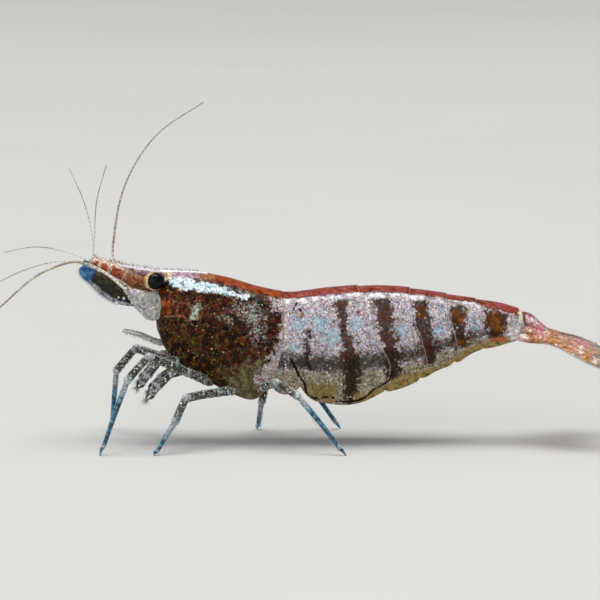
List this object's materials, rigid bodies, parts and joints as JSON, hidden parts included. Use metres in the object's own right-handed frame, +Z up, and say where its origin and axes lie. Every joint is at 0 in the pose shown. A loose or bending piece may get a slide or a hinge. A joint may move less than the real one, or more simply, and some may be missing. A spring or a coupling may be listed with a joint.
{
  "type": "aquarium shrimp",
  "caption": "Still life-size model of a striped dwarf freshwater shrimp standing on its walking legs, with feelers, claw legs, swimmerets and tail fan.",
  "frame": {"origin": "on the floor, under the middle of the whole model's box, feelers included", "axes": "+X towards the tail, +Y towards the animal's right side, +Z up"},
  "size_m": [0.04, 0.0088, 0.0186],
  "materials": {
    "carapace_shell": "wet glossy chitin, brown red with orange and blue white marks",
    "abdomen_shell": "wet glossy chitin, grey lilac with dark brown bands and a red back stripe",
    "tail_fan": "thin glossy chitin, orange pink with pale specks and bristle fringes",
    "limb_shell": "clear grey chitin with pale specks, white joints and blue tips",
    "feeler": "fine ringed feelers, pale tan",
    "eye": "glossy black cornea with a pale gold rim"
  },
  "bodies": {
    "root": {"carapace": "carapace_shell", "rostrum": "carapace_shell", "head": "carapace_shell", "abdomen_1": "abdomen_shell", "abdomen_2": "abdomen_shell", "abdomen_3": "abdomen_shell", "abdomen_4": "abdomen_shell", "abdomen_5": "abdomen_shell", "abdomen_6": "abdomen_shell", "telson": "tail_fan", "uropod_left_inner": "tail_fan", "uropod_left_outer": "tail_fan", "uropod_right_inner": "tail_fan", "uropod_right_outer": "tail_fan", "eye_left": "eye", "eyestalk_left": "limb_shell", "antennule_left": "limb_shell", "antenna_left_base": "limb_shell", "antennal_scale_left": "limb_shell", "antenna_left_feeler_1": "feeler", "antenna_left_feeler_2": "feeler", "antennule_left_upper_feeler": "feeler", "antennule_left_lower_feeler": "feeler", "eye_right": "eye", "eyestalk_right": "limb_shell", "antennule_right": "limb_shell", "antenna_right_base": "limb_shell", "antennal_scale_right": "limb_shell", "antenna_right_feeler_1": "feeler", "antenna_right_feeler_2": "feeler", "antennule_right_upper_feeler": "feeler", "antennule_right_lower_feeler": "feeler", "maxilliped_left": "limb_shell", "claw_leg_1_left": "limb_shell", "claw_leg_2_left": "limb_shell", "leg_3_left_upper": "limb_shell", "leg_3_left_lower": "limb_shell", "leg_4_left_upper": "limb_shell", "leg_4_left_lower": "limb_shell", "leg_5_left_upper": "limb_shell", "leg_5_left_lower": "limb_shell", "maxilliped_right": "limb_shell", "claw_leg_1_right": "limb_shell", "claw_leg_2_right": "limb_shell", "leg_3_right_upper": "limb_shell", "leg_3_right_lower": "limb_shell", "leg_4_right_upper": "limb_shell", "leg_4_right_lower": "limb_shell", "leg_5_right_upper": "limb_shell", "leg_5_right_lower": "limb_shell", "swimmeret_1_left": "limb_shell", "swimmeret_2_left": "limb_shell", "swimmeret_3_left": "limb_shell", "swimmeret_4_left": "limb_shell", "swimmeret_5_left": "limb_shell", "swimmeret_1_right": "limb_shell", "swimmeret_2_right": "limb_shell", "swimmeret_3_right": "limb_shell", "swimmeret_4_right": "limb_shell", "swimmeret_5_right": "limb_shell"}
  },
  "joints": []
}
